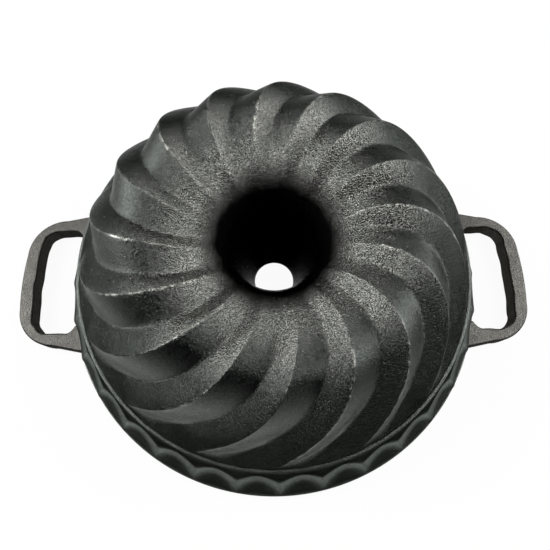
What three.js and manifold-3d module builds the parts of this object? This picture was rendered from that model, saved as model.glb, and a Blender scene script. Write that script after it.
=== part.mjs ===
// Cast iron ring-cake pan with swirled lobes, a scalloped skirt and two loop handles.
// It stands upside down on its rim, crown up, as it is stored and shown.
// Millimetres, +Z up. The origin is the centre of the rim's resting face. The handles lie along X.

import * as THREE from 'three';
import { mergeVertices } from 'three/addons/utils/BufferGeometryUtils.js';
import Module from 'manifold-3d';

// Overall sizes
const RIM_RADIUS = 130;
const PAN_HEIGHT = 100;
const WALL = 4.5;

// Rim band: the plain ring that the pan stands on
const RIM_HEIGHT = 6;
const RIM_WIDTH = 8;
const RIM_CHAMFER = 0.6;

// Skirt: the scalloped flare between the rim band and the foot of the dome
const SKIRT_TOP = 44;
const SKIRT_FLARE = 15.5;
const BEAD_STEP = 1.5;
const SCALLOPS = 32;
const SCALLOP_PHASE = THREE.MathUtils.degToRad(0.8);

// Dome: the swirled wall, the shoulder up to the crown line and the funnel down to the throat
const WALL_LEAN = THREE.MathUtils.degToRad(20);
const WALL_PULL = 38;
const CROWN_RADIUS = 65.5;
const SHOULDER_PULL = 22;
const FUNNEL_PULL = 18;
const FUNNEL_DEPTH = 34;
const THROAT_RADIUS = 23.5;
const THROAT_LEAN = THREE.MathUtils.degToRad(14);
const THROAT_PULL = 16;

// Lobes: each one swells up to a sharp crest, behind which a hollow flute falls to the next lobe.
// At the foot of the wall they run out in pointed tips between triangles of plain wall, the flutes are
// at full depth a little higher, and past the crown line they fade into the throat
const LOBES = 16;
const LOBE_DEPTH = 6.4;
const TIP_START = 2;
const LOBE_TIP = 16.5;
const DEPTH_REACH = 26;
const FLUTE_REACH = 48;
const LOBE_FADE_START = 4;
const LOBE_FADE = 45;
const LOBE_PHASE = THREE.MathUtils.degToRad(-1);
const SWIRL = THREE.MathUtils.degToRad(36);
const SWIRL_LENGTH = 108;
const SWIRL_EASE = 0.92;

// Tube: the open cone in the middle, which stops short of the rim's plane
const TUBE_END_RADIUS = 12.5;
const TUBE_END_WALL = 4;
const TUBE_END_HEIGHT = 6;

// Handles: one loop at each side, flat on top
const HANDLE_REACH = 31.6;
const HANDLE_BAR = 9;
const HANDLE_BOW = 1;
const HANDLE_HALF_WIDTH = 42.3;
const HANDLE_ARM = 8;
const HANDLE_CORNER = 24;
const HANDLE_INNER_CORNER = 11;
const HANDLE_ROOT_SPREAD = 4.5;
const HANDLE_THICKNESS = 11.5;
const HANDLE_BEVEL = 1.2;
const HANDLE_SEAT_GAP = 0.3;

// Shape ratios of the skirt's moulding: how far out and how far down each edge of the ledge lies,
// at the middle of a scallop and at the cusp between two scallops
const LEDGE_INNER = { scallop: [0.18, 0.25], cusp: [0.48, 0.58] };
const LEDGE_OUTER = { scallop: [0.37, 0.35], cusp: [0.82, 0.735] };
const SCOOP_MIDDLE = { scallop: [0.6, 0.58], cusp: [0.96, 0.87] };
const SCALLOP_POWER = 2;

// Shape ratios of a lobe: the flute's share of its pitch over the plain triangles and higher up, the
// valley's share, the least width of a tip, and how hollow the flute, how full the face and how quick
// the growth of the depth is
const FLUTE_TIP = 0.48;
const FLUTE_CROWN = 0.57;
const VALLEY_SHARE = 0.02;
const TIP_SHARE = 0.06;
const FLUTE_POWER = 1.15;
const FACE_POWER = 1.2;
const DEPTH_POWER = 0.85;

// Where the wall ends and the shoulder starts, and where the funnel ends and the tube starts,
// as shares of the lengths of the curves outside and inside the crown line
const WALL_SHARE = 0.5;
const FUNNEL_SHARE = 0.72;
const TURN_LENGTH = 10;

// Columns of a flute, of a face and of a scallop, as shares of their width
const FLUTE_COLUMNS = [0, 0.3, 0.65, 1];
const FACE_COLUMNS = [0, 0.35, 0.7];
const SCALLOP_COLUMNS = [0, 0.22, 0.5, 0.78];
const ROUND_STEPS = 96;
const TIP_STEPS = 2;
const WALL_STEPS = 2;
const SHOULDER_STEPS = 5;
const FUNNEL_STEPS = 5;
const THROAT_STEPS = 3;
const HANDLE_CURVE_STEPS = 8;

// Finishes: seasoned cast iron, darker and rougher low down, a little greyer where hands wear it
const IRON_METALNESS = 0.35;
const ROUGH = 0.62;
const SMOOTH = 0.55;
const RIM_COLOUR = 0x2e302d;
const SKIRT_COLOUR = 0x2b2e2b;
const WALL_COLOUR = 0x303330;
const SHOULDER_COLOUR = 0x363936;
const FUNNEL_COLOUR = 0x323532;
const TUBE_COLOUR = 0x242624;
const HANDLE_COLOUR = 0x45433e;

const FULL_TURN = 2 * Math.PI;

// Radii that follow from the driving sizes
const BEAD_RADIUS = RIM_RADIUS - SKIRT_FLARE;
const FOOT_RADIUS = BEAD_RADIUS - BEAD_STEP;
const MOUTH_RADIUS = RIM_RADIUS - RIM_WIDTH;
const THROAT_HEIGHT = PAN_HEIGHT - FUNNEL_DEPTH;

const { lerp, smoothstep, clamp } = THREE.MathUtils;

// Dome profile in (radius, height), from the foot of the wall over the crown to the throat
const foot = new THREE.Vector2(FOOT_RADIUS, SKIRT_TOP);
const crown = new THREE.Vector2(CROWN_RADIUS, PAN_HEIGHT);
const throat = new THREE.Vector2(THROAT_RADIUS, THROAT_HEIGHT);
const wallCurve = new THREE.CubicBezierCurve(
  foot,
  new THREE.Vector2(foot.x - WALL_PULL * Math.sin(WALL_LEAN), foot.y + WALL_PULL * Math.cos(WALL_LEAN)),
  new THREE.Vector2(crown.x + SHOULDER_PULL, crown.y),
  crown,
);
const funnelCurve = new THREE.CubicBezierCurve(
  crown,
  new THREE.Vector2(crown.x - FUNNEL_PULL, crown.y),
  new THREE.Vector2(
    throat.x + THROAT_PULL * Math.sin(THROAT_LEAN),
    throat.y + THROAT_PULL * Math.cos(THROAT_LEAN),
  ),
  throat,
);

// Distances along the profile, from the foot to the crown line and to the ends of its stretches
const CROWN_LINE = wallCurve.getLength();
const FUNNEL_LENGTH = funnelCurve.getLength();
const WALL_END = CROWN_LINE * WALL_SHARE;
const FUNNEL_END = CROWN_LINE + FUNNEL_LENGTH * FUNNEL_SHARE;
const DOME_END = CROWN_LINE + FUNNEL_LENGTH;

// Point of the dome's profile at a distance from the foot, with the outward normal there
function domeAt(distance) {
  const onWall = distance < CROWN_LINE;
  const curve = onWall ? wallCurve : funnelCurve;
  const along = onWall ? distance / CROWN_LINE : (distance - CROWN_LINE) / FUNNEL_LENGTH;
  const u = clamp(along, 0, 1);
  const tangent = curve.getTangentAt(u);
  return { point: curve.getPointAt(u), normal: new THREE.Vector2(tangent.y, -tangent.x) };
}

// Direction in which relief and wall thickness are measured: level on the wall and in the throat,
// so that the faces between the pieces there are level, and square to the surface over the crown
function reliefDirection(distance, normal) {
  const inside = Math.min(distance - WALL_END, FUNNEL_END - distance);
  const turn = smoothstep(inside, 0, TURN_LENGTH);
  const level = new THREE.Vector2(Math.sign(normal.x) || 1, 0);
  return level.lerp(normal, turn).normalize();
}

// How far the swirl has turned at a distance from the foot
function swirlAt(distance) {
  const share = clamp(distance / SWIRL_LENGTH, 0, 1);
  return SWIRL * (share + SWIRL_EASE * share * share * (1 - share));
}

// Depth of the flutes at a distance from the foot: none at the lobes' tips and none in the throat
function fluteDepth(distance) {
  const grown = Math.pow(clamp((distance - TIP_START) / (DEPTH_REACH - TIP_START), 0, 1), DEPTH_POWER);
  const fadeFrom = CROWN_LINE + LOBE_FADE_START;
  const faded = 1 - smoothstep(distance, fadeFrom, fadeFrom + LOBE_FADE);
  return LOBE_DEPTH * grown * faded;
}

// Where a flute ends and the next face starts, as shares of the pitch, at a distance from the foot.
// Near the foot both are narrower, and plain wall shows between them
function lobeEdges(distance) {
  const grown = clamp((distance - TIP_START) / (LOBE_TIP - TIP_START), TIP_SHARE, 1);
  const valley = lerp(FLUTE_TIP, FLUTE_CROWN, smoothstep(distance, LOBE_TIP, FLUTE_REACH));
  return { fluteEnd: valley * grown, faceStart: 1 - (1 - valley - VALLEY_SHARE) * grown };
}

// Shares of the pitch at which a lobe's columns stand
function lobeColumns(distance) {
  const { fluteEnd, faceStart } = lobeEdges(distance);
  const flute = FLUTE_COLUMNS.map((along) => along * fluteEnd);
  const face = FACE_COLUMNS.map((along) => lerp(faceStart, 1, along));
  return [...flute, ...face];
}

// Height across one pitch, from 1 on the crest at its start, down the flute to 0 and up the next face
function lobeHeight(share, distance) {
  const { fluteEnd, faceStart } = lobeEdges(distance);
  if (share < fluteEnd) return Math.pow(1 - share / fluteEnd, FLUTE_POWER);
  if (share <= faceStart) return 0;
  return 1 - Math.pow((1 - share) / (1 - faceStart), FACE_POWER);
}

// Angle of a column of the dome at a distance from the foot
function columnAngle(lobe, share, distance) {
  return LOBE_PHASE + (FULL_TURN * (lobe + share)) / LOBES + swirlAt(distance);
}

// One ring of the dome, on its outer face or sunk by the wall's thickness
function domeRing(distance, thickness) {
  const { point, normal } = domeAt(distance);
  const direction = reliefDirection(distance, normal);
  const square = direction.dot(normal);
  const ring = [];
  for (let lobe = 0; lobe < LOBES; lobe += 1) {
    for (const share of lobeColumns(distance)) {
      const sunk = fluteDepth(distance) * (1 - lobeHeight(share, distance)) + thickness;
      const angle = columnAngle(lobe, share, distance);
      const radius = point.x - (direction.x * sunk) / square;
      const height = point.y - (direction.y * sunk) / square;
      ring.push(new THREE.Vector3(radius * Math.cos(angle), radius * Math.sin(angle), height));
    }
  }
  return ring;
}

// Closed ring-shaped solid from rings of equal count, listed up its outside and down its inside
function ringSolid(rings) {
  const columns = rings[0].length;
  const positions = [];
  const indices = [];
  for (const ring of rings) {
    for (const vertex of ring) positions.push(vertex.x, vertex.y, vertex.z);
  }
  for (let i = 0; i < rings.length; i += 1) {
    const next = (i + 1) % rings.length;
    for (let j = 0; j < columns; j += 1) {
      const beside = (j + 1) % columns;
      const a = i * columns + j;
      const b = i * columns + beside;
      const c = next * columns + beside;
      const d = next * columns + j;
      indices.push(a, b, c, a, c, d);
    }
  }
  const geometry = new THREE.BufferGeometry();
  geometry.setAttribute('position', new THREE.Float32BufferAttribute(positions, 3));
  geometry.setIndex(indices);
  return geometry;
}

// Distances of even steps from one to another, with both ends
function evenly(from, to, steps) {
  return Array.from({ length: steps + 1 }, (_, i) => lerp(from, to, i / steps));
}

// Closed stretch of the dome: up its outer face, then back down its inner face
function domeStretch(distances) {
  const outer = distances.map((distance) => domeRing(distance, 0));
  const inner = distances.map((distance) => domeRing(distance, WALL));
  return ringSolid([...outer, ...inner.reverse()]);
}

// Level ring of the tube, in the dome's own columns
function tubeRing(radius, height) {
  const ring = [];
  for (let lobe = 0; lobe < LOBES; lobe += 1) {
    for (const share of lobeColumns(FUNNEL_END)) {
      const angle = columnAngle(lobe, share, FUNNEL_END);
      ring.push(new THREE.Vector3(radius * Math.cos(angle), radius * Math.sin(angle), height));
    }
  }
  return ring;
}

function tubeGeometry() {
  const distances = evenly(FUNNEL_END, DOME_END, THROAT_STEPS);
  const bore = distances.map((distance) => domeRing(distance, 0));
  const outside = distances.map((distance) => domeRing(distance, WALL));
  bore.push(tubeRing(TUBE_END_RADIUS, TUBE_END_HEIGHT));
  outside.push(tubeRing(TUBE_END_RADIUS + TUBE_END_WALL, TUBE_END_HEIGHT));
  return ringSolid([...bore, ...outside.reverse()]);
}

// Every column of the skirt: its angle, and how near it is to a cusp, from 0 in mid-scallop to 1
const skirtColumns = [];
for (let scallop = 0; scallop < SCALLOPS; scallop += 1) {
  for (const share of SCALLOP_COLUMNS) {
    skirtColumns.push({
      angle: SCALLOP_PHASE + (FULL_TURN * (scallop + share)) / SCALLOPS,
      nearCusp: Math.pow(Math.abs(2 * share - 1), SCALLOP_POWER),
    });
  }
}

// Level ring of the skirt
function skirtPlainRing(radius, height) {
  return skirtColumns.map(
    ({ angle }) => new THREE.Vector3(radius * Math.cos(angle), radius * Math.sin(angle), height),
  );
}

// Ring of the skirt along one edge of its moulding
function skirtEdgeRing(edge) {
  return skirtColumns.map(({ angle, nearCusp }) => {
    const out = lerp(edge.scallop[0], edge.cusp[0], nearCusp);
    const down = lerp(edge.scallop[1], edge.cusp[1], nearCusp);
    const radius = lerp(BEAD_RADIUS, RIM_RADIUS - RIM_CHAMFER, out);
    const height = lerp(SKIRT_TOP, RIM_HEIGHT, down);
    return new THREE.Vector3(radius * Math.cos(angle), radius * Math.sin(angle), height);
  });
}

// Inner radius of the wall at its foot, where the skirt's inside starts
const { normal: footNormal } = domeAt(0);
const FOOT_INNER_RADIUS = FOOT_RADIUS - WALL / footNormal.x;

function skirtGeometry() {
  return ringSolid([
    skirtPlainRing(MOUTH_RADIUS, RIM_HEIGHT),
    skirtPlainRing(RIM_RADIUS - RIM_CHAMFER, RIM_HEIGHT),
    skirtEdgeRing(SCOOP_MIDDLE),
    skirtEdgeRing(LEDGE_OUTER),
    skirtEdgeRing(LEDGE_INNER),
    skirtPlainRing(BEAD_RADIUS, SKIRT_TOP),
    skirtPlainRing(FOOT_INNER_RADIUS, SKIRT_TOP),
  ]);
}

function rimGeometry() {
  const profile = [
    new THREE.Vector2(MOUTH_RADIUS, 0),
    new THREE.Vector2(RIM_RADIUS - RIM_CHAMFER, 0),
    new THREE.Vector2(RIM_RADIUS, RIM_CHAMFER),
    new THREE.Vector2(RIM_RADIUS, RIM_HEIGHT - RIM_CHAMFER),
    new THREE.Vector2(RIM_RADIUS - RIM_CHAMFER, RIM_HEIGHT),
    new THREE.Vector2(MOUTH_RADIUS, RIM_HEIGHT),
    new THREE.Vector2(MOUTH_RADIUS, 0),
  ];
  const lathe = new THREE.LatheGeometry(profile, ROUND_STEPS);
  lathe.rotateX(Math.PI / 2);
  return lathe;
}

// Closed solids, for the cut that seats each handle against the rim
const wasm = await Module();
wasm.setup();

function toSolid(geometry) {
  const bare = geometry.clone();
  bare.deleteAttribute('normal');
  bare.deleteAttribute('uv');
  const merged = mergeVertices(bare);
  return new wasm.Manifold(
    new wasm.Mesh({
      numProp: 3,
      vertProperties: new Float32Array(merged.attributes.position.array),
      triVerts: new Uint32Array(merged.index.array),
    }),
  );
}

function toGeometry(solid) {
  const mesh = solid.getMesh();
  const geometry = new THREE.BufferGeometry();
  geometry.setAttribute('position', new THREE.Float32BufferAttribute(mesh.vertProperties, 3));
  geometry.setIndex(Array.from(mesh.triVerts));
  return geometry;
}

// Plan of the right handle: a bowed bar on two arms that spread towards the rim
function handleShape() {
  // The arms start inside the rim, and the seat then cuts them back to it
  const rootX = Math.sqrt(RIM_RADIUS ** 2 - (HANDLE_HALF_WIDTH + HANDLE_ROOT_SPREAD) ** 2) - WALL;
  const outerX = RIM_RADIUS + HANDLE_REACH;
  const innerX = outerX - HANDLE_BAR;
  const innerHalf = HANDLE_HALF_WIDTH - HANDLE_ARM;
  const cornerX = outerX - HANDLE_CORNER;
  const cornerY = HANDLE_HALF_WIDTH - HANDLE_CORNER;
  const innerCornerX = innerX - HANDLE_INNER_CORNER;
  const innerCornerY = innerHalf - HANDLE_INNER_CORNER;
  const quarter = Math.PI / 2;
  const shape = new THREE.Shape();
  shape.moveTo(rootX, -HANDLE_HALF_WIDTH - HANDLE_ROOT_SPREAD);
  shape.lineTo(cornerX, -HANDLE_HALF_WIDTH);
  shape.absarc(cornerX, -cornerY, HANDLE_CORNER, -quarter, 0, false);
  shape.quadraticCurveTo(outerX + 2 * HANDLE_BOW, 0, outerX, cornerY);
  shape.absarc(cornerX, cornerY, HANDLE_CORNER, 0, quarter, false);
  shape.lineTo(rootX, HANDLE_HALF_WIDTH + HANDLE_ROOT_SPREAD);
  shape.lineTo(rootX, innerHalf);
  shape.lineTo(innerCornerX, innerHalf);
  shape.absarc(innerCornerX, innerCornerY, HANDLE_INNER_CORNER, quarter, 0, true);
  shape.quadraticCurveTo(innerX + 2 * HANDLE_BOW, 0, innerX, -innerCornerY);
  shape.absarc(innerCornerX, -innerCornerY, HANDLE_INNER_CORNER, 0, -quarter, true);
  shape.lineTo(rootX, -innerHalf);
  shape.closePath();
  return shape;
}

function handleGeometry() {
  const bar = new THREE.ExtrudeGeometry(handleShape(), {
    depth: HANDLE_THICKNESS - 2 * HANDLE_BEVEL,
    bevelThickness: HANDLE_BEVEL,
    bevelSize: HANDLE_BEVEL,
    bevelOffset: -HANDLE_BEVEL,
    bevelSegments: 1,
    curveSegments: HANDLE_CURVE_STEPS,
  });
  bar.translate(0, 0, HANDLE_BEVEL);
  const seatRadius = RIM_RADIUS + HANDLE_SEAT_GAP;
  const seat = new THREE.CylinderGeometry(seatRadius, seatRadius, 2 * PAN_HEIGHT, ROUND_STEPS);
  seat.rotateX(Math.PI / 2);
  return toGeometry(toSolid(bar).subtract(toSolid(seat)));
}

function seasonedIron(color, roughness) {
  return new THREE.MeshStandardMaterial({ color, roughness, metalness: IRON_METALNESS });
}

function piece(name, geometry, material) {
  const mesh = new THREE.Mesh(geometry, material);
  mesh.name = name;
  return mesh;
}

const tipDistances = evenly(TIP_START, LOBE_TIP, TIP_STEPS);
const wallDistances = [0, ...tipDistances, ...evenly(DEPTH_REACH, WALL_END, WALL_STEPS)];
const wallGeometry = domeStretch(wallDistances);
const shoulderGeometry = domeStretch(evenly(WALL_END, CROWN_LINE, SHOULDER_STEPS));
const funnelGeometry = domeStretch(evenly(CROWN_LINE, FUNNEL_END, FUNNEL_STEPS));
const leftHandle = piece('handle_left', handleGeometry(), seasonedIron(HANDLE_COLOUR, SMOOTH));
leftHandle.rotation.z = Math.PI;

const pan = new THREE.Group();
pan.add(piece('rim_band', rimGeometry(), seasonedIron(RIM_COLOUR, ROUGH)));
pan.add(piece('scalloped_skirt', skirtGeometry(), seasonedIron(SKIRT_COLOUR, ROUGH)));
pan.add(piece('fluted_wall', wallGeometry, seasonedIron(WALL_COLOUR, SMOOTH)));
pan.add(piece('shoulder', shoulderGeometry, seasonedIron(SHOULDER_COLOUR, SMOOTH)));
pan.add(piece('funnel', funnelGeometry, seasonedIron(FUNNEL_COLOUR, SMOOTH)));
pan.add(piece('centre_tube', tubeGeometry(), seasonedIron(TUBE_COLOUR, ROUGH)));
pan.add(piece('handle_right', handleGeometry(), seasonedIron(HANDLE_COLOUR, SMOOTH)));
pan.add(leftHandle);

export default pan;
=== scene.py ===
"""Looks of a seasoned cast iron ring cake pan that stands upside down on its rim."""

import math

import bpy
import numpy as np
from mathutils import Matrix, Vector


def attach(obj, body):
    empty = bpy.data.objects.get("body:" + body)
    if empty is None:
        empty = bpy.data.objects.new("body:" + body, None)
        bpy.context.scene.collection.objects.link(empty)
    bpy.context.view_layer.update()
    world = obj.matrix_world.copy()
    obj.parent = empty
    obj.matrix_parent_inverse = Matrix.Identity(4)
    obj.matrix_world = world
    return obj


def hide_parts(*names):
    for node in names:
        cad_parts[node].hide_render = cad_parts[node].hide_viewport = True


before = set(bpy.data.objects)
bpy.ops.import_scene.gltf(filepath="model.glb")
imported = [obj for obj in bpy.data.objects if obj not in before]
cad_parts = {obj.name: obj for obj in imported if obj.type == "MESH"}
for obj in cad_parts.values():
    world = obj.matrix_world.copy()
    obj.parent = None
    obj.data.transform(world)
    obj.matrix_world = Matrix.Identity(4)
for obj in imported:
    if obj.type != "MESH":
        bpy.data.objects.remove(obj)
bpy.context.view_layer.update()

# Sizes in millimetres, mostly as in the CAD part; the lobes are a little finer than there
MM = 0.001
RIM_RADIUS = 130.0
RIM_HEIGHT = 6.0
RIM_WIDTH = 8.0
RIM_ROUND = 0.8
PAN_HEIGHT = 100.0
WALL = 4.5
SKIRT_TOP = 44.0
SKIRT_FLARE = 15.5
BEAD_STEP = 1.5
SCALLOPS = 32
SCALLOP_PHASE = math.radians(0.8)
LOBES = 16
LOBE_DEPTH = 6.4
TIP_START, LOBE_TIP = 2.0, 22.0
DEPTH_REACH = 30.0
LOBE_FADE_START = 4.0
LOBE_FADE = 45.0
LOBE_PHASE = math.radians(-1.0)
SWIRL = math.radians(36.0)
SWIRL_LENGTH = 108.0
SWIRL_EASE = 0.92
WALL_LEAN = math.radians(20.0)
WALL_PULL = 38.0
CROWN_RADIUS = 65.5
SHOULDER_PULL = 22.0
FUNNEL_PULL = 18.0
FUNNEL_DEPTH = 34.0
THROAT_RADIUS = 23.5
THROAT_LEAN = math.radians(14.0)
THROAT_PULL = 16.0
TUBE_END_RADIUS = 12.5
TUBE_END_WALL = 4.0
TUBE_END_HEIGHT = 6.0
FUNNEL_SHARE = 0.72

# Shape of a lobe: the flute's share of the pitch at the lobe's tip and from FLUTE_REACH upwards,
# the share of the valley, and how hollow the flute and how full the face is
FLUTE_TIP, FLUTE_CROWN = 0.46, 0.57
FLUTE_REACH = 48.0
TIP_SHARE = 0.03
VALLEY_SHARE = 0.02
FLUTE_POWER = 1.15
FACE_POWER = 1.2
GROWTH_POWER = 1.6
VALLEY_ROUND, CREST_ROUND, THROAT_ROUND = 0.026, 0.011, 0.06
CREST_SHARE = 0.09

BEAD_RADIUS = RIM_RADIUS - SKIRT_FLARE
FOOT_RADIUS = BEAD_RADIUS - BEAD_STEP
MOUTH_RADIUS = RIM_RADIUS - RIM_WIDTH
THROAT_HEIGHT = PAN_HEIGHT - FUNNEL_DEPTH
FULL_TURN, QUARTER_TURN = 2 * math.pi, math.pi / 2


def smoothstep(x, low, high):
    t = np.clip((x - low) / (high - low), 0.0, 1.0)
    return t * t * (3.0 - 2.0 * t)


def steps(count):
    """Even steps from 0 that stop one short of 1."""
    return np.linspace(0, 1, count + 1)[:-1]


# Dome profile
BEZIER_POINTS = 600


def bezier(points):
    p = np.array(points, float)
    t = np.linspace(0.0, 1.0, BEZIER_POINTS)[:, None]
    return (1 - t) ** 3 * p[0] + 3 * (1 - t) ** 2 * t * p[1] + 3 * (1 - t) * t ** 2 * p[2] + t ** 3 * p[3]


def along(points):
    """Distance of each point along the line through them."""
    stretches = np.hypot(*np.diff(points, axis=0).T)
    return np.concatenate([[0.0], np.cumsum(stretches)])


foot = np.array([FOOT_RADIUS, SKIRT_TOP])
crown = np.array([CROWN_RADIUS, PAN_HEIGHT])
throat = np.array([THROAT_RADIUS, THROAT_HEIGHT])
lean = np.array([-math.sin(WALL_LEAN), math.cos(WALL_LEAN)])
rise = np.array([math.sin(THROAT_LEAN), math.cos(THROAT_LEAN)])
wall_line = bezier([foot, foot + WALL_PULL * lean, crown + [SHOULDER_PULL, 0], crown])
funnel_line = bezier([crown, crown - [FUNNEL_PULL, 0], throat + THROAT_PULL * rise, throat])
profile = np.vstack([wall_line, funnel_line[1:]])
profile_at = along(profile)
CROWN_LINE = along(wall_line)[-1]
DOME_END = profile_at[-1]
FUNNEL_END = CROWN_LINE + (DOME_END - CROWN_LINE) * FUNNEL_SHARE
FADE_FROM = CROWN_LINE + LOBE_FADE_START
FADE_TO = FADE_FROM + LOBE_FADE
tangent = np.gradient(profile, profile_at, axis=0)
tangent /= np.linalg.norm(tangent, axis=1)[:, None]
normal = np.column_stack([tangent[:, 1], -tangent[:, 0]])


def on_profile(values, distance):
    return np.column_stack([np.interp(distance, profile_at, values[:, i]) for i in range(2)])


def swirl_at(distance):
    x = np.clip(distance / SWIRL_LENGTH, 0.0, 1.0)
    return SWIRL * (x + SWIRL_EASE * x * x * (1.0 - x))


def flute_depth(distance):
    left = np.clip((DEPTH_REACH - distance) / (DEPTH_REACH - TIP_START), 0.0, 1.0)
    return LOBE_DEPTH * (1 - left ** GROWTH_POWER) * (1 - smoothstep(distance, FADE_FROM, FADE_TO))


def tip_growth(distance):
    """How far a lobe has widened from its pointed tip at the foot."""
    left = np.clip((LOBE_TIP - distance) / (LOBE_TIP - TIP_START), 0.0, 1.0)
    return np.maximum(1 - left ** GROWTH_POWER, TIP_SHARE)


def valley_at(distance):
    return FLUTE_TIP + (FLUTE_CROWN - FLUTE_TIP) * smoothstep(distance, TIP_START, FLUTE_REACH)


def flute_end(distance):
    return valley_at(distance) * tip_growth(distance)


def face_start(distance):
    return 1.0 - (1.0 - valley_at(distance) - VALLEY_SHARE) * tip_growth(distance)


def lobe_section(share, distance):
    """Height across one pitch: 1 on the crest, down the flute to 0 and up the next face."""
    end, start = flute_end(distance), face_start(distance)
    flute = np.clip(1.0 - share / end, 0.0, 1.0) ** FLUTE_POWER
    face = 1.0 - np.clip((1.0 - share) / (1.0 - start), 0.0, 1.0) ** FACE_POWER
    return np.where(share < end, flute, np.where(share <= start, 0.0, face))


SECTION_STEPS = 1024


def lobe_height(shares, distance):
    """Lobe section of each row, with its valley rounded, and its crest rounded more towards the throat."""
    fine = np.arange(SECTION_STEPS) / SECTION_STEPS
    pulse = np.fft.rfftfreq(SECTION_STEPS, 1 / SECTION_STEPS)
    off = np.minimum(fine, 1 - fine)
    heights = []
    for share, at in zip(shares, distance):
        section = np.fft.rfft(lobe_section(fine, at))
        softened = smoothstep(at, FADE_FROM, FADE_TO)
        width = flute_end(at) / FLUTE_CROWN
        rounds = [width * base + (THROAT_ROUND - base) * softened for base in (VALLEY_ROUND, CREST_ROUND)]
        curves = [np.exp(-2 * (math.pi * r * pulse) ** 2) for r in rounds]
        valley, crest = [np.fft.irfft(section * curve, SECTION_STEPS) for curve in curves]
        near = np.exp(-(off / (CREST_SHARE * width)) ** 2)
        both = crest * near + valley * (1 - near)
        heights.append(np.interp(share, np.append(fine, 1.0), np.append(both, both[0])))
    return np.array(heights)


# Columns of points across a lobe, and how they crowd towards its crests
FLUTE_COLUMNS, VALLEY_COLUMNS, FACE_COLUMNS = 14, 3, 24
FLUTE_CROWDING, FACE_CROWDING = 1.5, 1.4


def lobe_shares(distance):
    """Columns of a lobe at each distance, closer together at its crests."""
    flute = steps(FLUTE_COLUMNS) ** FLUTE_CROWDING
    valley = steps(VALLEY_COLUMNS)
    face = 1 - (1 - steps(FACE_COLUMNS)) ** FACE_CROWDING
    end, start = flute_end(distance)[:, None], face_start(distance)[:, None]
    return np.hstack([end * flute, end + (start - end) * valley, start + (1 - start) * face])


def grid_mesh(name, rows, closed_rows=True):
    """Mesh of a grid of points whose columns close; its rows close too, or else end in flat caps."""
    n_rows, n_cols = rows.shape[:2]
    index = np.arange(n_rows * n_cols).reshape(n_rows, n_cols)
    corners = [index, np.roll(index, -1, axis=1)]
    corners += [np.roll(c, -1, axis=0) for c in reversed(corners)]
    quads = np.stack(corners, axis=-1)
    if not closed_rows:
        quads = quads[:-1]
    faces = quads.reshape(-1, 4).tolist()
    if not closed_rows:
        faces += [index[0, ::-1].tolist(), index[-1].tolist()]
    mesh = bpy.data.meshes.new(name)
    mesh.from_pydata((rows.reshape(-1, 3) * MM).tolist(), [], faces)
    mesh.polygons.foreach_set("use_smooth", np.full(len(faces), True))
    mesh.update(calc_edges=True)
    mesh.validate()
    obj = bpy.data.objects.new(name, mesh)
    bpy.context.scene.collection.objects.link(obj)
    return obj


def turned_grid(radius, angle, z):
    """Points at these radii, angles and heights."""
    return np.stack([radius * np.cos(angle), radius * np.sin(angle), z + 0 * angle], axis=-1)


def store(obj, name, values):
    """Value of each point, which the material reads by name."""
    attribute = obj.data.attributes.new(name, "FLOAT", "POINT")
    attribute.data.foreach_set("value", np.asarray(values, np.float32).reshape(-1))


# Rows of points of the dome: round the lobes' tips, over the rest of the outside, down the tube and inside
TIP_ROWS, OUTER_ROWS, TUBE_ROWS, INNER_ROWS = 50, 160, 14, 70

# Where the dome's finish changes, with its painted sheen, its crown colours of wear and painted light on the
# top, and its near-black throat, in distances up its outside: each change from its start to its end
# Smooth flutes, which also carry a painted sheen that is lighter low down
SMOOTH_SHEEN_FROM, SMOOTH_SHEEN_TO = (2.0, 7.0), (64.0, 88.0)
PAINTED_SHEEN_TO = (34.0, 62.0)
# Crown colours of wear and painted light on the top, setting in later in the flutes
WORN_LIT_TOP_FROM, WORN_LIT_TOP_LAG_IN_FLUTE = (57.0, 88.0), 18.0
# Near-black colour towards the throat
THROAT_BLACK_FROM = (FUNNEL_END - 18, FUNNEL_END + 6)
# The flute's edge as a share of the flute, the width of a worn crest with a painted glint, and the depth at
# which the wear and glint set in
FLUTE_EDGE = (0.95, 1.1)
WEAR_GLINT_WIDTH, WEAR_GLINT_DEPTH = 0.65, (1.0, 5.0)


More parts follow.
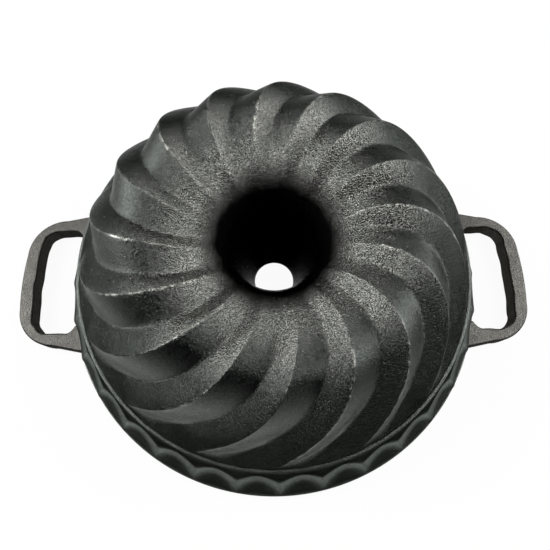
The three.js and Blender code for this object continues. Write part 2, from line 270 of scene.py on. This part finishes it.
def build_dome():
    pitch = FULL_TURN / LOBES

    def angles(distance):
        share = lobe_shares(distance)
        turned = LOBE_PHASE + swirl_at(distance)[:, None] + pitch * share
        return np.hstack([turned + pitch * lobe for lobe in range(LOBES)]), share

    def face(distance, thickness):
        point, n = on_profile(profile, distance), on_profile(normal, distance)
        n /= np.linalg.norm(n, axis=1)[:, None]
        angle, share = angles(distance)
        sunk = flute_depth(distance)[:, None] * (1 - lobe_height(share, distance)) + thickness
        sunk = np.tile(sunk, LOBES)
        points = turned_grid(point[:, :1] - n[:, :1] * sunk, angle, point[:, 1:] - n[:, 1:] * sunk)
        return points, np.tile(share, LOBES)

    def tube(radius, z):
        return turned_grid(radius[:, None], angles(np.array([DOME_END]))[0], z[:, None])

    outer_s = np.concatenate([np.linspace(0, LOBE_TIP, TIP_ROWS)[:-1],
                              np.linspace(LOBE_TIP, DOME_END, OUTER_ROWS)])
    outer, share = face(outer_s, 0.0)
    t = np.linspace(0, 1, TUBE_ROWS)[1:]
    bore = tube(THROAT_RADIUS + (TUBE_END_RADIUS - THROAT_RADIUS) * t,
                THROAT_HEIGHT + (TUBE_END_HEIGHT - THROAT_HEIGHT) * t)
    inner, _ = face(np.linspace(DOME_END, 0, INNER_ROWS), WALL)
    inner[-1, :, 2] = SKIRT_TOP
    shell_end = inner[0, 0]
    shell_radius = math.hypot(shell_end[0], shell_end[1])
    back = t[::-1]
    outside = tube(shell_radius + (TUBE_END_RADIUS + TUBE_END_WALL - shell_radius) * back,
                   shell_end[2] + (TUBE_END_HEIGHT - shell_end[2]) * back)
    rows = np.concatenate([outer, bore, outside, inner])
    obj = grid_mesh("dome", rows)

    def spread_out(values, bore_value=0.0):
        full = np.zeros(rows.shape[:2])
        full[:len(outer_s)] = values
        full[len(outer_s):len(outer_s) + len(bore)] = bore_value
        return full

    at = outer_s[:, None]
    radius = np.hypot(outer[..., 0], outer[..., 1])
    near_crest = np.minimum(share, 1 - share) * pitch * radius
    # Crests: partly real wear, partly a painted glint
    worn_and_glint = np.exp(-(near_crest / WEAR_GLINT_WIDTH) ** 2) * smoothstep(flute_depth(at), *WEAR_GLINT_DEPTH)
    in_flute = 1 - smoothstep(share / flute_end(at), *FLUTE_EDGE)
    low = smoothstep(at, *SMOOTH_SHEEN_FROM) * (1 - smoothstep(at, *SMOOTH_SHEEN_TO))
    # Masks for the material: crest wear with a painted glint, smooth flutes with a painted sheen lighter low
    # down, crown colours of wear and painted light on the top, and a near-black throat
    store(obj, "wear_and_glint", spread_out(worn_and_glint))
    store(obj, "smooth_and_sheen", spread_out(in_flute * low))
    store(obj, "painted_low_sheen", spread_out(1 - smoothstep(at, *PAINTED_SHEEN_TO)))
    store(obj, "worn_and_lit_top", spread_out(smoothstep(at - WORN_LIT_TOP_LAG_IN_FLUTE * in_flute, *WORN_LIT_TOP_FROM)))
    store(obj, "dark_throat", spread_out(smoothstep(at, *THROAT_BLACK_FROM), 1.0))
    return obj


def catmull_rom(points, samples):
    """Smooth path through the points, with so many samples to a stretch."""
    path = []
    last = len(points) - 1
    for i in range(last):
        p0, p1, p2, p3 = points[max(i - 1, 0)], points[i], points[i + 1], points[min(i + 2, last)]
        for t in np.arange(samples) / samples:
            square, cube = 2 * p0 - 5 * p1 + 4 * p2 - p3, 3 * p1 - p0 - 3 * p2 + p3
            path.append(0.5 * (2 * p1 + (p2 - p0) * t + square * t ** 2 + cube * t ** 3))
    path.append(points[-1])
    return np.array(path)


# Moulding of the skirt: how far out and down it is in mid-scallop and at a cusp, and how smooth it is, which
# also sets its painted sheen and painted light
MOULDING = [
    ((0.00, 0.00), (0.00, 0.00), 0.3, 0.3),
    ((0.05, 0.12), (0.15, 0.26), 0.1, 0.1),
    ((0.12, 0.20), (0.36, 0.46), 0.0, 0.0),
    ((0.18, 0.25), (0.48, 0.58), 0.8, 0.8),
    ((0.26, 0.29), (0.58, 0.625), 0.7, 0.9),
    ((0.37, 0.35), (0.70, 0.675), 0.3, 0.7),
    ((0.48, 0.45), (0.82, 0.735), 0.1, 0.45),
    ((0.60, 0.58), (0.92, 0.80), 0.1, 0.25),
    ((0.74, 0.73), (0.96, 0.87), 0.1, 0.15),
    ((0.88, 0.88), (0.985, 0.94), 0.1, 0.1),
    ((1.00, 1.00), (1.00, 1.00), 0.5, 0.5),
]
MOULDING_SAMPLES = 6
CUSP_ROUND = 0.045
SCALLOP_COLUMNS, SCALLOP_CROWDING = 8, 1.3
RIM_STEPS, SKIRT_INNER_ROWS = 6, 6
# Smoothness of the rim and the bead, which also paints a sheen on their edges
RIM_SMOOTH_AND_SHEEN, BEAD_SMOOTH_AND_SHEEN = 0.8, 0.3
# How far the bead's top edge starts to turn inside its radius, and the edge's own step in and down
BEAD_FLAT_END = 0.5
BEAD_EDGE_IN, BEAD_EDGE_DOWN = 0.15, 0.1
MOUTH_EDGE = 0.3


def build_skirt():
    half = steps(SCALLOP_COLUMNS)
    columns = np.concatenate([half ** SCALLOP_CROWDING / 2, 1 - (1 - half) ** SCALLOP_CROWDING / 2])
    share = np.tile(columns, SCALLOPS)
    scallop = np.repeat(np.arange(SCALLOPS), len(columns))
    angle = SCALLOP_PHASE + FULL_TURN * (scallop + share) / SCALLOPS
    off = np.minimum(share, 1 - share)
    off = np.sqrt(off ** 2 + CUSP_ROUND ** 2) - CUSP_ROUND
    near_cusp = np.clip(1 - 2 * off, 0, 1) ** 2
    knots = []
    for arch, cusp, arch_smooth_and_sheen, cusp_smooth_and_sheen in MOULDING:
        a, b = np.array([*arch, arch_smooth_and_sheen])[:, None], np.array([*cusp, cusp_smooth_and_sheen])[:, None]
        knots.append(a * (1 - near_cusp) + b * near_cusp)
    path = catmull_rom(np.array(knots), MOULDING_SAMPLES)
    lip = RIM_RADIUS - RIM_ROUND
    moulded = np.stack([BEAD_RADIUS + (lip - BEAD_RADIUS) * path[:, 0],
                        SKIRT_TOP + (RIM_HEIGHT - SKIRT_TOP) * path[:, 1],
                        np.clip(path[:, 2], 0, 1)], axis=1)

    def plain(radius, height, smooth_and_sheen=0.0):
        return np.tile(np.array([radius, height, smooth_and_sheen])[:, None], len(angle))

    turn = np.linspace(0, QUARTER_TURN, RIM_STEPS)
    edge = [plain(lip + RIM_ROUND * math.sin(a), RIM_HEIGHT - RIM_ROUND * (1 - math.cos(a)), RIM_SMOOTH_AND_SHEEN)
            for a in turn[1:]]
    edge += [plain(RIM_RADIUS, RIM_HEIGHT / 2, RIM_SMOOTH_AND_SHEEN)]
    edge += [plain(lip + RIM_ROUND * math.cos(a), RIM_ROUND * (1 - math.sin(a)), RIM_SMOOTH_AND_SHEEN) for a in turn]
    foot_inner = FOOT_RADIUS - WALL / math.cos(WALL_LEAN)
    inside = [plain(MOUTH_RADIUS, height) for height in (0.0, MOUTH_EDGE, RIM_HEIGHT)]
    inside += [plain(MOUTH_RADIUS + (foot_inner - MOUTH_RADIUS) * k, RIM_HEIGHT + (SKIRT_TOP - RIM_HEIGHT) * k)
               for k in np.linspace(0, 1, SKIRT_INNER_ROWS)[1:]]
    top = [plain(FOOT_RADIUS, SKIRT_TOP, BEAD_SMOOTH_AND_SHEEN),
           plain(BEAD_RADIUS - BEAD_FLAT_END, SKIRT_TOP, BEAD_SMOOTH_AND_SHEEN),
           plain(BEAD_RADIUS - BEAD_EDGE_IN, SKIRT_TOP - BEAD_EDGE_DOWN, BEAD_SMOOTH_AND_SHEEN)]
    section = np.concatenate([np.array(inside), np.array(top), moulded[1:], np.array(edge)])[::-1]
    radius, z, smooth_and_sheen = section[:, 0], section[:, 1], section[:, 2]
    obj = grid_mesh("skirt", turned_grid(radius, angle, z))
    # Smoothness, which also paints light on the ledge, the bead and the rim edge
    store(obj, "smooth_and_sheen", smooth_and_sheen)
    return obj


# Handles
HANDLE_REACH = 31.6
HANDLE_BAR = 9.0
HANDLE_BOW = 1.0
HANDLE_HALF_WIDTH = 42.3
HANDLE_ARM = 8.0
HANDLE_CORNER = 24.0
HANDLE_INNER_CORNER = 11.0
HANDLE_ROOT_SPREAD = 4.5
HANDLE_THICKNESS = 11.5
HANDLE_BEVEL = 1.2
HANDLE_EDGE = 0.5
HANDLE_WAVE = 0.22
LONG_WAVE, SHORT_WAVE, SHORT_WAVE_SHARE = 3.1, 1.9, 0.5
ROOT_RADIUS = 124.5
ROOT_FILLET, FILLET_REACH = 5.0, 6.0
ARM_POINTS, CORNER_POINTS, BAR_POINTS, BEVEL_POINTS = 23, 24, 16, 5
TOP_MARGIN = 1e-6


def handle_edge(x, half_width, corner, spread, fillet):
    """Plan of one edge of the loop, from one root round to the other."""
    cx, cy = x - corner, half_width - corner
    root_x = math.sqrt(ROOT_RADIUS ** 2 - (half_width + spread - fillet) ** 2)
    fillet_x = math.sqrt(RIM_RADIUS ** 2 - half_width ** 2) + FILLET_REACH
    arm = steps(ARM_POINTS)
    arm_x = root_x + (cx - root_x) * arm
    arm_y = half_width + spread * (1 - arm) - fillet * np.clip((fillet_x - arm_x) / FILLET_REACH, 0, 1) ** 2
    turn = np.linspace(0, QUARTER_TURN, CORNER_POINTS)
    bar = np.linspace(cy, 0, BAR_POINTS)[1:]
    xs = np.concatenate([arm_x, cx + corner * np.sin(turn), x + HANDLE_BOW * (1 - (bar / cy) ** 2)])
    ys = np.concatenate([arm_y, cy + corner * np.cos(turn), bar])
    half = np.column_stack([xs, ys])
    return np.vstack([half, (half * [1, -1])[-2::-1]])


def build_handle(name, side):
    outer_x = RIM_RADIUS + HANDLE_REACH
    outer = handle_edge(outer_x, HANDLE_HALF_WIDTH, HANDLE_CORNER, HANDLE_ROOT_SPREAD, 0.0)
    inner = handle_edge(outer_x - HANDLE_BAR, HANDLE_HALF_WIDTH - HANDLE_ARM, HANDLE_INNER_CORNER,
                        0.0, ROOT_FILLET)
    across = outer - inner
    across /= np.linalg.norm(across, axis=1)[:, None]
    at = along((outer + inner) / 2)
    wave = HANDLE_WAVE * (np.sin(at / LONG_WAVE + side) + SHORT_WAVE_SHARE * np.sin(at / SHORT_WAVE + 2 * side))
    inner = inner + across * wave[:, None]
    width = np.linalg.norm(outer - inner, axis=1)
    r, t = HANDLE_BEVEL, HANDLE_THICKNESS
    flat = r + HANDLE_EDGE
    turn = np.linspace(0, QUARTER_TURN, BEVEL_POINTS)
    # Section of the bar: distance from its inner edge, or from its outer edge where marked 1, and height
    section = [(r - r * math.cos(a), 0, t - r + r * math.sin(a)) for a in turn]
    section += [(flat, 0, t), (-flat, 1, t)]
    section += [(r * math.sin(a) - r, 1, t - r + r * math.cos(a)) for a in turn]
    section += [(0, 1, t - flat), (0, 1, flat)]
    section += [(r * math.cos(a) - r, 1, r - r * math.sin(a)) for a in turn]
    section += [(-flat, 1, 0), (flat, 0, 0)]
    section += [(r - r * math.sin(a), 0, r - r * math.cos(a)) for a in turn]
    section += [(0, 0, flat), (0, 0, t - flat)]
    reach, beyond, height = np.array(section[::-1]).T
    plan = inner[:, None] + across[:, None] * (reach + beyond * width[:, None])[..., None]
    level = np.broadcast_to(height[:, None], plan.shape[:2] + (1,))
    obj = grid_mesh(name, np.concatenate([side * plan, level], axis=-1), closed_rows=False)
    # The top face takes the crown colours: partly wear, partly painted light on the top
    store(obj, "worn_and_lit_top", np.broadcast_to(height > t - TOP_MARGIN, plan.shape[:2]))
    return obj


# Shader nodes

def feed(tree, value, socket):
    """Links an input to another node's output, or sets it to a value."""
    if isinstance(value, bpy.types.NodeSocket):
        tree.links.new(value, socket)
    else:
        socket.default_value = value


def math_node(tree, operation, a, b):
    node = tree.nodes.new("ShaderNodeMath")
    node.operation = operation
    feed(tree, a, node.inputs[0])
    feed(tree, b, node.inputs[1])
    return node.outputs[0]


def map_range(tree, value, low, high, to_low=0.0, to_high=1.0):
    node = tree.nodes.new("ShaderNodeMapRange")
    for socket, setting in (("Value", value), ("From Min", low), ("From Max", high),
                            ("To Min", to_low), ("To Max", to_high)):
        feed(tree, setting, node.inputs[socket])
    return node.outputs["Result"]


# Iron: lumps to the metre, detail and roughness of each noise, then the range read and what it becomes
PEBBLE_SCALE = 1150
SAND_NOISE = (2600, 1, 0.5)
SWELL_NOISE = (330, 2, 0.5)
MOTTLE_NOISE, MOTTLE_RANGE = (38, 7, 0.72), (0.35, 0.66)
NICK_NOISE, NICK_RANGE = (300, 3, 0.5), (0.42, 0.62)
NICKED_NOISE, NICKED_RANGE = (28, 2, 0.5), (0.42, 0.58, 0.1, 1.0)
# Near-black towards the throat: the noise that rags its edge, and its range
THROAT_BLACK_NOISE, THROAT_BLACK_NOISE_RANGE, THROAT_BLACK_RANGE = (130, 4, 0.5), (0.3, 0.7, -0.05, 0.05), (0.05, 0.95)
UNEVEN_NOISE, UNEVEN_RANGE = (240, 3, 0.5), (0.3, 0.7, -0.05, 0.06)
# Painted shade in the grain's pits: the colour is multiplied by this range, read from the pit depth
PIT_SHADE_RANGE = (-0.3, 0.35, 0.75, 1.2)
# Light worn iron on the crests: partly real wear, partly a painted glint
WORN_GLINT_IRON = (0.39, 0.39, 0.36)
# Near-black colour towards the throat
THROAT_BLACK = (0.003, 0.003, 0.003)
# How much rougher smooth iron is, and how much lighter at grazing angles
SMOOTH_ROUGHER, SMOOTH_GRAZING = 0.08, 1.4
# Strength for a grain of 1, and height in metres, of the bumps
SWELL_STRENGTH, SWELL_HEIGHT = 0.1, 0.0006
SAND_STRENGTH, SAND_HEIGHT = 0.9, 0.0003


def iron(name, base, light, painted_sheen, roughness, grain, calm, grazing, crown=None):
    """Mottled iron from base to light, a painted sheen colour where smooth, and crown colours of wear and
    painted light on the top; calm is the grain where smooth.
    """
    mat = bpy.data.materials.new(name)
    mat.use_nodes = True
    tree = mat.node_tree
    nodes, links = tree.nodes, tree.links
    shader = nodes["Principled BSDF"]
    place = nodes.new("ShaderNodeTexCoord").outputs["Object"]

    def noise(scale, detail, rough):
        n = nodes.new("ShaderNodeTexNoise")
        for socket, value in (("Vector", place), ("Scale", scale), ("Detail", detail), ("Roughness", rough)):
            feed(tree, value, n.inputs[socket])
        return n.outputs["Fac"]

    def attribute(which):
        n = nodes.new("ShaderNodeAttribute")
        n.attribute_name = which
        return n.outputs["Fac"]

    def mix(factor, a, b, blend="MIX"):
        m = nodes.new("ShaderNodeMix")
        m.data_type = "RGBA"
        m.blend_type = blend
        feed(tree, factor, m.inputs["Factor"])
        ends = [i for i in m.inputs if i.type == "RGBA"]
        for socket, value in zip(ends, (a, b)):
            feed(tree, value + (1.0,) if isinstance(value, tuple) else value, socket)
        return [o for o in m.outputs if o.type == "RGBA"][0]

    def bump(height, strength, distance, under=None):
        b = nodes.new("ShaderNodeBump")
        b.inputs["Distance"].default_value = distance
        links.new(strength, b.inputs["Strength"])
        links.new(height, b.inputs["Height"])
        if under:
            links.new(under, b.inputs["Normal"])
        return b.outputs["Normal"]

    smooth_and_sheen = attribute("smooth_and_sheen")

    def where_smooth(rough_value, smooth_value):
        return map_range(tree, smooth_and_sheen, 0, 1, rough_value, smooth_value)

    pebble = nodes.new("ShaderNodeTexVoronoi")
    pebble.inputs["Scale"].default_value = PEBBLE_SCALE
    links.new(place, pebble.inputs["Vector"])
    sunk = math_node(tree, "SUBTRACT", noise(*SAND_NOISE), pebble.outputs["Distance"])

    mottle = map_range(tree, noise(*MOTTLE_NOISE), *MOTTLE_RANGE)
    colour = mix(mottle, base, light)
    # Crown colours on the top: partly wear, partly painted light
    if crown:
        colour = mix(attribute("worn_and_lit_top"), colour, mix(mottle, *crown))
    # Painted sheen where smooth, lighter low down on the flutes
    colour = mix(smooth_and_sheen, colour, mix(attribute("painted_low_sheen"), *painted_sheen))
    # Crests lighter: partly real wear, partly a painted glint
    nicks = math_node(tree, "MULTIPLY", map_range(tree, noise(*NICK_NOISE), *NICK_RANGE),
                      map_range(tree, noise(*NICKED_NOISE), *NICKED_RANGE))
    colour = mix(math_node(tree, "MULTIPLY", attribute("wear_and_glint"), nicks), colour, WORN_GLINT_IRON)
    # Near-black towards the throat, with a ragged edge
    throat_blackness = math_node(tree, "ADD", attribute("dark_throat"),
                      map_range(tree, noise(*THROAT_BLACK_NOISE), *THROAT_BLACK_NOISE_RANGE))
    colour = mix(map_range(tree, throat_blackness, *THROAT_BLACK_RANGE), colour, THROAT_BLACK)
    # Painted shade in the grain's pits
    colour = mix(1.0, colour, map_range(tree, sunk, *PIT_SHADE_RANGE), "MULTIPLY")
    links.new(colour, shader.inputs["Base Color"])

    uneven = map_range(tree, noise(*UNEVEN_NOISE), *UNEVEN_RANGE)
    links.new(math_node(tree, "ADD", uneven, where_smooth(roughness, roughness + SMOOTH_ROUGHER)),
              shader.inputs["Roughness"])
    links.new(mix(smooth_and_sheen, (grazing,) * 3, (SMOOTH_GRAZING * grazing,) * 3), shader.inputs["Specular Tint"])
    shader.inputs["Metallic"].default_value = 1.0
    swell = bump(noise(*SWELL_NOISE), where_smooth(SWELL_STRENGTH * grain, SWELL_STRENGTH * calm), SWELL_HEIGHT)
    sand = bump(sunk, where_smooth(SAND_STRENGTH * grain, SAND_STRENGTH * calm), SAND_HEIGHT, swell)
    links.new(sand, shader.inputs["Normal"])
    return mat


# The crown colours are partly wear, partly painted light on the top; the sheen colours are painted, lighter low
# down
dome_iron = iron("dome_iron", base=(0.039, 0.0425, 0.039), light=(0.052, 0.0565, 0.052),
                 painted_sheen=((0.065, 0.070, 0.065), (0.205, 0.218, 0.205)),
                 roughness=0.22, grain=1.28, calm=0.6, grazing=0.32,
                 crown=((0.196, 0.198, 0.185), (0.241, 0.243, 0.228)))
# The skirt's sheen colour paints light on its ledge, bead and rim edge
skirt_iron = iron("skirt_iron", base=(0.040, 0.0435, 0.040), light=(0.054, 0.059, 0.054),
                  painted_sheen=((0.218, 0.236, 0.221), (0.218, 0.236, 0.221)),
                  roughness=0.40, grain=0.8, calm=0.15, grazing=0.1)
# The handle's crown colours: partly wear, partly painted light on its top
handle_iron = iron("handle_iron", base=(0.040, 0.040, 0.0365), light=(0.0565, 0.054, 0.0495),
                   painted_sheen=((0.059, 0.059, 0.059), (0.059, 0.059, 0.059)),
                   roughness=0.5, grain=0.5, calm=0.3, grazing=0.3,
                   crown=((0.097, 0.094, 0.087), (0.132, 0.129, 0.118)))

dome = build_dome()
dome.data.materials.append(dome_iron)
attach(dome, "root")
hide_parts("fluted_wall", "shoulder", "funnel", "centre_tube")
skirt = build_skirt()
skirt.data.materials.append(skirt_iron)
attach(skirt, "root")
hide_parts("scalloped_skirt", "rim_band")
for name, side in (("handle_right", 1), ("handle_left", -1)):
    handle = build_handle(name + "_loop", side)
    handle.data.materials.append(handle_iron)
    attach(handle, "root")
    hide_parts(name)

# Floor, in metres
FLOOR_SIZE, FLOOR_HEIGHT = 6.0, -0.0004
FLOOR_WHITE, FLOOR_ROUGHNESS = (0.93, 0.93, 0.93, 1), 0.9
FLOOR_GLOW = 0.95
# The pale floor ends in front of the pan, and metal shows the dark room beyond
NEAR_DARK, NEAR_LIGHT = -0.44, -0.33
bpy.ops.mesh.primitive_plane_add(size=FLOOR_SIZE, location=(0, 0, FLOOR_HEIGHT))
floor = bpy.context.object
floor.name = "floor"
floor_mat = bpy.data.materials.new("floor_white")
floor_mat.use_nodes = True
floor_tree = floor_mat.node_tree
floor_nodes, floor_links = floor_tree.nodes, floor_tree.links
paper = floor_nodes["Principled BSDF"]
paper.inputs["Base Color"].default_value = FLOOR_WHITE
paper.inputs["Roughness"].default_value = FLOOR_ROUGHNESS
paper.inputs["Specular IOR Level"].default_value = 0.0
glow = floor_nodes.new("ShaderNodeEmission")
rays = floor_nodes.new("ShaderNodeLightPath").outputs
where = floor_nodes.new("ShaderNodeTexCoord")
sides = floor_nodes.new("ShaderNodeSeparateXYZ")
floor_links.new(where.outputs["Object"], sides.inputs[0])
fall = map_range(floor_tree, sides.outputs["Y"], NEAR_DARK, NEAR_LIGHT)
mirrored = math_node(floor_tree, "MULTIPLY", rays["Is Glossy Ray"], fall)
seen = math_node(floor_tree, "MAXIMUM", rays["Is Camera Ray"], mirrored)
seen = math_node(floor_tree, "MAXIMUM", seen, rays["Is Transmission Ray"])
both = floor_nodes.new("ShaderNodeMixShader")
floor_links.new(math_node(floor_tree, "MULTIPLY", seen, FLOOR_GLOW), both.inputs[0])
floor_links.new(paper.outputs[0], both.inputs[1])
floor_links.new(glow.outputs[0], both.inputs[2])
floor_links.new(both.outputs[0], floor_nodes["Material Output"].inputs["Surface"])
floor.data.materials.append(floor_mat)

# Camera, as fitted to the photograph's rim, handles and lobe lines
FOCAL_PX = 480.0
FRAME_PX = 550.0
SENSOR = 36.0
CLIP_START = 0.01
CAMERA_AT = (0.573, -92.42, 308.24)
PITCH, ROLL, TURN = 1.2617, 0.0137, 0.0259
forward = Vector((0, math.cos(PITCH), -math.sin(PITCH)))
up = Vector((0, math.sin(PITCH), math.cos(PITCH)))
right = Vector((1, 0, 0))
right, up = right * math.cos(ROLL) + up * math.sin(ROLL), up * math.cos(ROLL) - right * math.sin(ROLL)
spin = Matrix.Rotation(-TURN, 3, "Z")
camera_data = bpy.data.cameras.new("camera")
camera = bpy.data.objects.new("camera", camera_data)
bpy.context.scene.collection.objects.link(camera)
axes = Matrix((spin @ right, spin @ up, spin @ -forward)).transposed().to_4x4()
camera.matrix_world = Matrix.Translation(spin @ (Vector(CAMERA_AT) * MM)) @ axes
camera_data.sensor_fit = "HORIZONTAL"
camera_data.sensor_width = SENSOR
camera_data.lens = FOCAL_PX / FRAME_PX * SENSOR
camera_data.clip_start = CLIP_START
bpy.context.scene.camera = camera

# Light
WORLD_COLOUR, WORLD_STRENGTH = (0.9, 0.95, 0.93, 1), 0.02
LAMP_AIM = Vector((0, 0, 0.06))
# Place and size in metres, and power in watts
LAMPS = [
    ("left_high", (-0.75, 0.10, 0.76), (0.55, 0.36), 8.1),
    ("right_high", (0.72, 0.10, 0.8), (0.55, 0.36), 6.1),
    ("left_low", (-0.92, 0.2, 0.28), (0.8, 0.4), 5.6),
    ("far_low", (0.15, 1.0, 0.3), (1.2, 0.4), 2.55),
    ("right_low", (0.9, 0.25, 0.28), (0.8, 0.4), 6.5),
]
world = bpy.data.worlds.new("studio")
bpy.context.scene.world = world
world.use_nodes = True
background = world.node_tree.nodes["Background"]
background.inputs["Color"].default_value = WORLD_COLOUR
background.inputs["Strength"].default_value = WORLD_STRENGTH
for name, place, size, power in LAMPS:
    data = bpy.data.lights.new(name, "AREA")
    data.shape = "RECTANGLE"
    data.size, data.size_y = size
    data.energy = power
    lamp = bpy.data.objects.new(name, data)
    bpy.context.scene.collection.objects.link(lamp)
    lamp.location = place
    lamp.rotation_euler = (LAMP_AIM - Vector(place)).to_track_quat("-Z", "Y").to_euler()

bpy.context.scene.view_settings.view_transform = "Standard"
